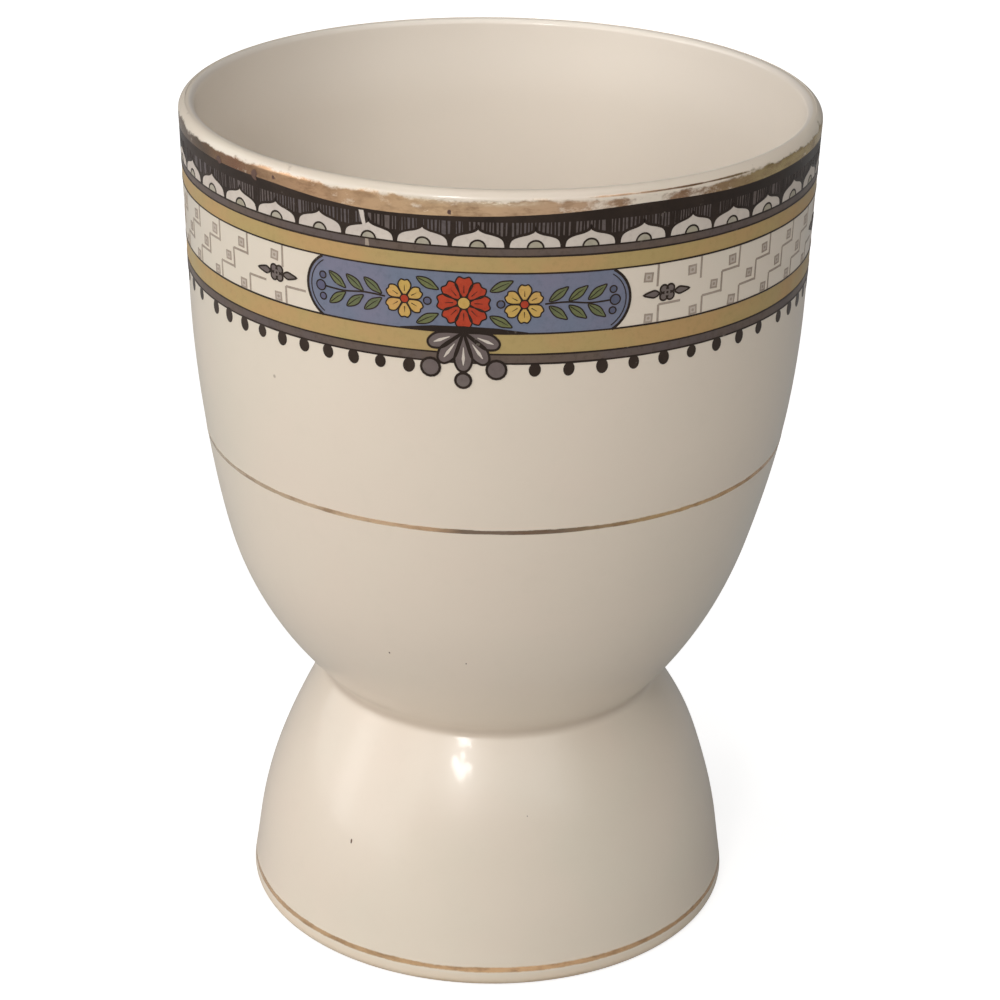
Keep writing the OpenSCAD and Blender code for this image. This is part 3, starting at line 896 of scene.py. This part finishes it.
def flower(u, z, petal, count, petals, heart_r, heart, dark):
    """Petals round a heart, each with its own outline and vein, and a dot between each two."""
    for k in range(count):
        angle = k * 360 / count
        size = chance.uniform(0.96, 1.03)
        shape = moved(smooth(petal), u, z, angle, size)
        petals.edged(shape, MID_INK + HAIR * k, dark, 0.13, TOP_INK + HAIR * k)
        tip = petal[4][1]
        vein = [(0.0, 0.42 * tip), (chance.uniform(-0.05, 0.05), 0.74 * tip)]
        dark.stroke(moved(vein, u, z, angle), [0.09, 0.03], TOP_INK + 0.006)
    heart.edged(disc(u, z, heart_r), TOP_INK + 0.006, dark, 0.12, TOP_INK + 0.01)
    for k in range(count):
        dot = disc(0.0, heart_r * 1.5, 0.07, 8)
        dark.fill(moved(dot, u, z, (k + 0.5) * 360 / count), TOP_INK + 0.012)


def leaf(u, z, turn, leaves, dark, size=1.0):
    shape = moved(smooth(LEAF), u, z, turn, size)
    leaves.edged(shape, MID_INK, dark, 0.12, TOP_INK)
    dark.stroke(moved([(-0.95, 0.0), (0.1, 0.05), (0.75, 0.0)], u, z, turn, size), [0.09, 0.08, 0.03],
                TOP_INK + 0.004)


def panel_outline(inset=0.0):
    """Right end of a panel's outline, from its upper to its lower corner."""
    half_h = (PANEL[0] - PANEL[1]) / 2 - inset
    r = PANEL_END_R - inset
    spread = asin(half_h / r)
    return moved(round_points(r, 16, spread, -spread), PANEL_HALF, 0.0)


# A panel's end lines as inset and width, then what stands on each side of its middle, in degrees;
# berries as angle, height and radius
PANEL_LINES = ((0.0, 0.26), (0.42, 0.1))
BLOSSOM_AT = 10
INNER_LEAF_R, INNER_LEAF_TURN = 3.84, 27
STEM = ((13.4, 0.0), (17, 0.12), (21, -0.1), (24.5, 0.0))
LEAF_PAIRS = (15.62, 18.92, 22.22)
BERRIES = ((25.4, 0.0, 0.5), (25.0, -1.05, 0.34), (25.0, 1.05, 0.34), (6.1, 0.0, 0.36))


def draw_panel(zero, ink):
    """A generic spray: a rosette between two blossoms, leaves and berries, on a blue ground."""
    dark = ink["dark"]
    right = panel_outline()
    left = [Vector((-p.x, p.y)) for p in right[::-1]]
    ink["blue"].fill(moved(right + left, zero, PANEL_MID), LOW_INK)
    for side in (-1, 1):
        for inset, width in PANEL_LINES:
            line = [Vector((side * p.x, p.y)) for p in panel_outline(inset)]
            dark.stroke(moved(line, zero, PANEL_MID), width, TOP_INK)
    flower(zero, PANEL_MID, PETAL, 8, ink["red"], 0.6, ink["blossoms"], dark)
    for side in (-1, 1):
        flower(zero + side * at_angle(BLOSSOM_AT), PANEL_MID, SMALL_PETAL, 6, ink["blossoms"], 0.42,
               ink["red"], dark)
        out = INNER_LEAF_R * Vector((side * cos(radians(INNER_LEAF_TURN)), sin(radians(INNER_LEAF_TURN))))
        for up in (-1, 1):
            leaf(zero + out.x, PANEL_MID + up * out.y, side * up * INNER_LEAF_TURN, ink["leaves"], dark)
        stem = smooth([(side * at_angle(a), z) for a, z in STEM], 5, False)
        dark.stroke(moved(stem, zero, PANEL_MID), 0.16, TOP_INK - 0.004)
        for turn in LEAF_PAIRS:
            for up in (-1, 1):
                leaf(zero + side * at_angle(turn), PANEL_MID + up * 0.9, side * up * 38, ink["leaves"],
                     dark, 0.95)
        for turn, up, r in BERRIES:
            ball = disc(zero + side * at_angle(turn), PANEL_MID + up, r)
            ink["berries"].edged(ball, MID_INK + 0.01, dark, 0.13, TOP_INK + 0.006)
    draw_fan(zero, ink)
    for turn in MOTIF_TURNS:
        quatrefoil(zero + at_angle(turn), PANEL_MID, ink)


# A fan's lobes as turn and size, its balls as place and radius, and the rise from lobe to lobe
FAN_LOBES = ((112, 1.16), (-112, 1.16), (145, 1.22), (-145, 1.22), (180, 1.28))
FAN_BALLS = ((-3.1, 71.62, 0.9), (3.1, 71.62, 0.92), (0.0, 70.45, 0.74))
FAN_RISE = 0.002


def draw_fan(zero, ink):
    """A five-lobed fan that hangs from the panel over the lower stripes, with three balls."""
    dark, fan = ink["dark"], ink["fans"]
    root = PANEL[1] + 0.1
    bar = [(-6.0, root), (-3.0, root + 0.16), (0.0, root + 0.2), (3.0, root + 0.16), (6.0, root)]
    dark.stroke(moved(bar, zero, 0.0), [0.1, 0.6, 0.75, 0.6, 0.1], TOP_INK + 0.02)
    dark.fill(moved(round_points(1.9, 12, pi, 2 * pi), zero, root), TOP_INK + 0.006)
    for k, (turn, size) in enumerate(FAN_LOBES):
        shape = moved(smooth(LOBE), zero, root, turn, size)
        top = TOP_INK + FAN_RISE * k
        fan.edged(shape, top + 0.01, dark, 0.22, top + 0.022)
        vein = moved([(0.0, 1.2), (0.0, 2.1), (0.0, 2.6)], zero, root, turn, size)
        ink["scallops"].stroke(vein, [0.06, 0.3, 0.06], top + 0.024)
    for u, z, r in FAN_BALLS:
        fan.edged(disc(zero + u, z, r), TOP_INK + 0.022, dark, 0.24, TOP_INK + 0.034)


def quatrefoil(u, z, ink):
    """Four round lobes about a dot, between two small pointed leaves."""
    dark, fan = ink["dark"], ink["fans"]
    for side in (-1, 1):
        shape = [Vector((u + side * x, z + y)) for x, y in smooth(BLADE, 3)]
        fan.edged(shape, MID_INK, dark, 0.17, TOP_INK)
    for k in range(4):
        lobe = moved(disc(0.0, 0.5, 0.42), u, z, 45 + k * 90)
        fan.edged(lobe, MID_INK + 0.001 * k, dark, 0.17, TOP_INK + 0.001 * k)
    fan.fill(disc(u, z, 0.32), TOP_INK + 0.006)
    dark.fill(disc(u, z, 0.13), TOP_INK + 0.01)


def bead_angles():
    """Beads stand at each side's own pitch, and leave room for the fan under each panel."""
    sector = 360 / PANELS
    near = [12.0 + 5.8 * k for k in range(9)]
    far = [sector - 9.3] + [sector - 14.4 - 5.0 * k for k in range(9)]
    return [PANEL_TURN + panel * sector + a for panel in range(PANELS) for a in near + far]


def draw_beads(beads):
    for angle in bead_angles():
        size = chance.uniform(0.92, 1.06)
        shape = moved(round_points(0.58 * size, tall=1.22 * chance.uniform(0.95, 1.06)), at_angle(angle),
                      BEAD_Z + chance.uniform(-0.04, 0.04), chance.uniform(-10, 10))
        beads.fill(shape, MID_INK)


# Printed pieces: name, slot, CAD node replaced if any, and the enamel's name, its main, second and
# pooled tone, mottling and wear
PRINTS = (
    ("dark", "dark_enamel", "dark_print", "dark", (36, 25, 18), (45, 33, 25), (26, 18, 12), 0.5, 0.2),
    ("ground", "grey_enamel", "", "mauve", (92, 80, 74), (84, 75, 74), (62, 52, 46), 0.7),
    ("grey", "grey_enamel", "grey_print", "grey", (92, 77, 67), (86, 74, 70), (70, 57, 48), 0.6),
    ("yellow", "yellow_enamel", "yellow_print", "yellow", (161, 137, 88), (168, 134, 88),
     (145, 123, 77), 0.4),
    ("blue", "blue_enamel", "blue_print", "blue", (102, 107, 121), (110, 107, 121), (86, 92, 104), 0.5),
    ("red", "red_enamel", "red_print", "red", (162, 58, 34), (150, 47, 27), (130, 38, 22), 0.6),
    ("leaves", "green_enamel", "leaf_print", "green", (102, 103, 64), (94, 98, 68), (76, 78, 46), 0.6),
    ("blossoms", "yellow_enamel", "", "flower", (178, 145, 76), (184, 140, 82), (158, 118, 54), 0.5),
    ("berries", "blue_enamel", "", "berry", (88, 84, 104), (76, 82, 94), (66, 63, 78), 0.5),
    ("fans", "grey_enamel", "", "fan", (98, 85, 81), (106, 95, 87), (82, 71, 67), 0.5),
    ("eyes", "grey_enamel", "", "eye", (152, 142, 121), (160, 150, 134), (126, 117, 101), 0.5),
    ("fret", "grey_enamel", "", "fret", (143, 127, 112), (154, 138, 123), (124, 108, 95), 0.6, 0.4),
    ("squares", "grey_enamel", "", "square", (170, 155, 140), (179, 164, 150), (156, 140, 126), 0.6, 0.3),
    ("scallops", "porcelain", "", "scallop", (190, 177, 163), (183, 169, 157), (168, 153, 141), 0.5),
    ("beads", "dark_enamel", "bead_print", "bead", (43, 31, 23), (53, 40, 31), (32, 23, 17), 0.5, 0.15),
)


def build_border():
    ink = defaultdict(Sheet)
    draw_scallops(ink["dark"], ink["scallops"], ink["eyes"])
    draw_fret(ink["fret"], ink["squares"])
    for panel in range(PANELS):
        draw_panel(at_angle(PANEL_TURN + panel * 360 / PANELS), ink)
    draw_beads(ink["beads"])
    draw_join(ink["scallops"], ink["fret"])
    bodies = {name: [sheet.body()] for name, sheet in ink.items()}
    bodies["dark"].append(revolved(band(*DARK_EDGE, TOP_INK), GOLD_TURNS, gold_rise))
    bodies["dark"] += [ring(z + LINE_HALF, z - LINE_HALF, TOP_INK) for z in DARK_LINES]
    bodies["ground"] = [ring(BAND_TOP + 0.1, SCALLOP_BASE - 0.05, LOW_INK)]
    bodies["grey"] = [ring(*zone, LOW_INK) for zone in (GREY_HIGH, GREY_LOW)]
    bodies["yellow"] = [ring(*zone, LOW_INK) for zone in (YELLOW_HIGH, YELLOW_LOW)]
    for name, slot, node, tone, *tones in PRINTS:
        new_piece("print_" + name, bodies[name], enamel(tone + "_enamel", *tones), node)


# Specks as angle, height, radius and tallness, and nicks in the rim's gold as angle, height and size
SPECKS = ((-37.0, 13.2, 0.13, 1.9), (-22.0, 38.1, 0.1, 1.2), (-4.5, 37.9, 0.08, 1.2),
          (10.5, 18.1, 0.06, 1.0))
NICKS = ((-55.6, 87.3, 0.9), (-45.2, 87.25, 1.0), (-40.5, 87.55, 0.4), (-8.0, 86.9, 0.45))
NICK = [(-0.55, 0.1), (-0.2, 0.42), (0.12, 0.28), (0.5, 0.34), (0.42, -0.1), (0.1, -0.4), (-0.3, -0.3)]


def build_specks():
    """Iron specks in the glaze, and dark nicks in the gold of the rim."""
    specks = Sheet()
    for angle, z, r, tall in SPECKS:
        specks.fill(moved(round_points(r, 10, tall=tall), at_angle(angle), z, 6), LOW_INK)
    for angle, z, size in NICKS:
        specks.fill(moved(smooth(NICK, 3), at_angle(angle), z, 10 * angle, size), RIM_GOLD_T + 0.01)
    new_piece("glaze_specks", [specks.body()],
              enamel("speck_brown", (96, 72, 60), (84, 62, 54), (62, 46, 40), 0.7, 0.5))


def draw_join(pale, patch):
    """Where the two ends of the printed strip meet, a sliver of glaze shows."""
    u = at_angle(-22.5)
    gap = [(u - 0.5, BAND_TOP - 0.05), (u - 0.02, BAND_TOP - 0.05), (u + 0.2, 84.9), (u - 0.1, 84.7)]
    pale.fill(gap, TOP_INK + 0.012)
    low, high = GREY_HIGH[1] + 0.05, GREY_HIGH[0] - 0.02
    patch.fill([(u + 0.1, low), (u + 0.5, low), (u + 0.42, high), (u + 0.1, high)], MID_INK)


# Camera, light and the floor


CAMERA_AT = Vector((0.02, -273.56, 165.72))
CAMERA_DOWN = radians(23.928)
CAMERA_YAW = radians(-0.134)
CAMERA_ROLL = radians(1.057)
CAMERA_LENS = 100.634


def build_camera():
    data = bpy.data.cameras.new("camera")
    data.lens = CAMERA_LENS
    data.clip_start, data.clip_end = 0.01, 20.0
    camera = new_object("camera", data)
    turn = (Matrix.Rotation(CAMERA_YAW, 4, "Z") @ Matrix.Rotation(pi / 2 - CAMERA_DOWN, 4, "X")
            @ Matrix.Rotation(CAMERA_ROLL, 4, "Z"))
    camera.matrix_world = Matrix.Translation(CAMERA_AT * MM) @ turn
    bpy.context.scene.camera = camera


def area_light(name, azimuth, elevation, distance, width, height, power):
    """A soft light at this azimuth right of the front, aimed at the middle of the cup."""
    data = bpy.data.lights.new(name, "AREA")
    data.shape = "RECTANGLE"
    data.size, data.size_y = width, height
    data.energy = power
    data.color = LAMP_TINT
    light = new_object(name, data)
    a, e = radians(azimuth), radians(elevation)
    back = Vector((sin(a) * cos(e), -cos(a) * cos(e), sin(e)))
    light.location = Vector((0.0, 0.0, TOTAL_H / 2 * MM)) + back * distance
    light.rotation_mode = "QUATERNION"
    light.rotation_quaternion = back.to_track_quat("Z", "Y")


# Soft lights: azimuth and elevation in degrees, distance, width and height in metres, and power
WINDOWS = (
    ("window", -64, 14, 1.2, 1.1, 1.0, 3.0),
    ("window_middle", -66, 16, 1.2, 0.8, 0.7, 1.1),
    ("front_window", 2, 31, 1.2, 2.7, 0.66, 3.9),
    ("front_window_middle", 0, 31, 1.2, 2.0, 0.4, 2.5),
    ("ceiling", 0, 76, 1.2, 1.2, 1.1, 3.6),
    ("side_window", -98, 18, 1.0, 0.9, 0.9, 3.3),
)
# Small bright panes that the foot reflects: azimuth, elevation, width and height
LAMP_PANES = ((-21.0, 26.0, 0.06, 0.045), (-17.2, 24.7, 0.08, 0.06), (-12.4, 25.8, 0.06, 0.04),
              (-16.4, 28.2, 0.035, 0.03), (-18.0, 32.2, 0.075, 0.05), (-13.8, 32.4, 0.065, 0.045))
PANE_AWAY = 0.9
PANE_GLOW = 70.0


def build_lights():
    for window in WINDOWS:
        area_light(*window)
    for azimuth, elevation, width, height in LAMP_PANES:
        area_light("lamp_pane", azimuth, elevation, PANE_AWAY, width, height, PANE_GLOW * width * height)


PLAIN_LEVEL = 0.175
WHITE = (1.0, 1.0, 1.0, 1.0)
FLOOR_HALF = 2.0


def build_world():
    """Plain light all round, which the camera sees as white."""
    g = Nodes(bpy.data.worlds.new("plain_light"))
    plain = g.add("Background", Color=(*LAMP_TINT, 1.0), Strength=PLAIN_LEVEL)
    white = g.add("Background", Color=WHITE)
    path = g.add("LightPath").node.outputs["Is Camera Ray"]
    bpy.context.scene.world = g.finish(g.mix_shaders(path, plain, white), "World")


def floor_material():
    """Pale paper that the camera sees lifted to white, with the cup's soft shadow kept."""
    g = Graph("floor_paper")
    grain = g.mix(g.step(g.noise(40.0, 4.0), 0.4, 0.6), (0.57, 0.57, 0.56, 1.0), (0.54, 0.54, 0.53, 1.0))
    paper = g.add("BsdfDiffuse", Color=grain)
    far = g.add("VectorMath", {"operation": "LENGTH"}, Vector=g.coords).node.outputs["Value"]
    lift = g.add("Emission", Color=WHITE, Strength=g.step(far, 0.12, 0.6, 0.74, 1.1))
    path = g.add("LightPath").node.outputs["Is Camera Ray"]
    nothing = g.add("Emission", Strength=0.0)
    return g.finish(g.fill(g.add("AddShader"), paper, g.mix_shaders(path, nothing, lift)))


def build_floor():
    mesh = bpy.data.meshes.new("floor")
    corners = [(x * FLOOR_HALF, y * FLOOR_HALF, 0) for x, y in ((-1, -1), (1, -1), (1, 1), (-1, 1))]
    mesh.from_pydata(corners, [], [(0, 1, 2, 3)])
    mesh.materials.append(floor_material())
    table = new_object("floor", mesh)
    table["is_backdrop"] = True


build_cups()
build_gold()
build_border()
build_specks()
build_camera()
build_lights()
build_world()
build_floor()
bpy.context.scene.view_settings.view_transform = "Standard"

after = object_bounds()
{"before": [list(before[0]), list(before[1])], "after": [list(after[0]), list(after[1])]}
